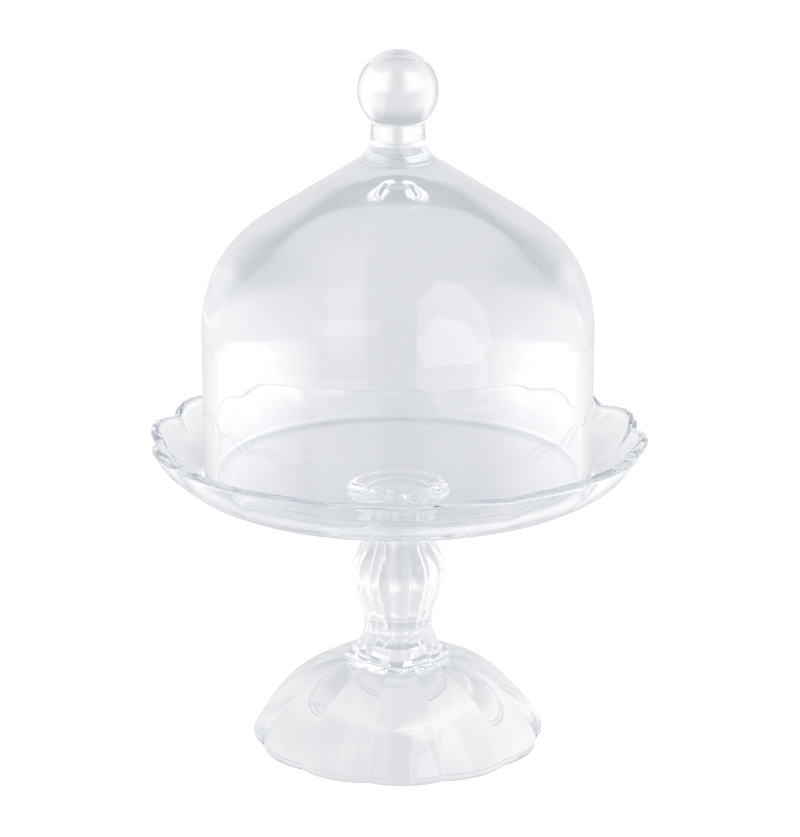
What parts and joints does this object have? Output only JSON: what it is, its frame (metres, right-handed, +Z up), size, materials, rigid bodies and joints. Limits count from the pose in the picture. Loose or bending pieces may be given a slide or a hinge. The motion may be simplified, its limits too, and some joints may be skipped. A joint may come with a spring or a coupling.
{
  "type": "cake dome",
  "caption": "Footed cake stand of clear pressed glass with a scalloped plate, and a loose bell-shaped glass dome with a ball knob that lifts off to uncover the cake.",
  "frame": {"origin": "centre of the foot's base on the table, on the stand's axis", "axes": "+Z up along the stand's axis, -Y towards the front, +X to the right seen from the front"},
  "size_m": [0.1892, 0.1892, 0.2681],
  "materials": {
    "pressed_glass": "clear pressed glass, fire-polished, faintly blue-grey in depth",
    "dome_glass": "clear blown glass, polished, faintly blue-grey in depth",
    "clear_bond": "clear cured adhesive"
  },
  "bodies": {
    "stand": {"foot": "pressed_glass", "stem": "pressed_glass", "bond_film": "clear_bond", "plate": "pressed_glass"},
    "dome": {"dome_shell": "dome_glass", "knob_ball": "dome_glass"}
  },
  "joints": [
    {"name": "dome_lift", "type": "slide", "parent": "stand", "child": "dome", "axis": [0, 0, 1], "range_m": [0, 0.2]}
  ]
}
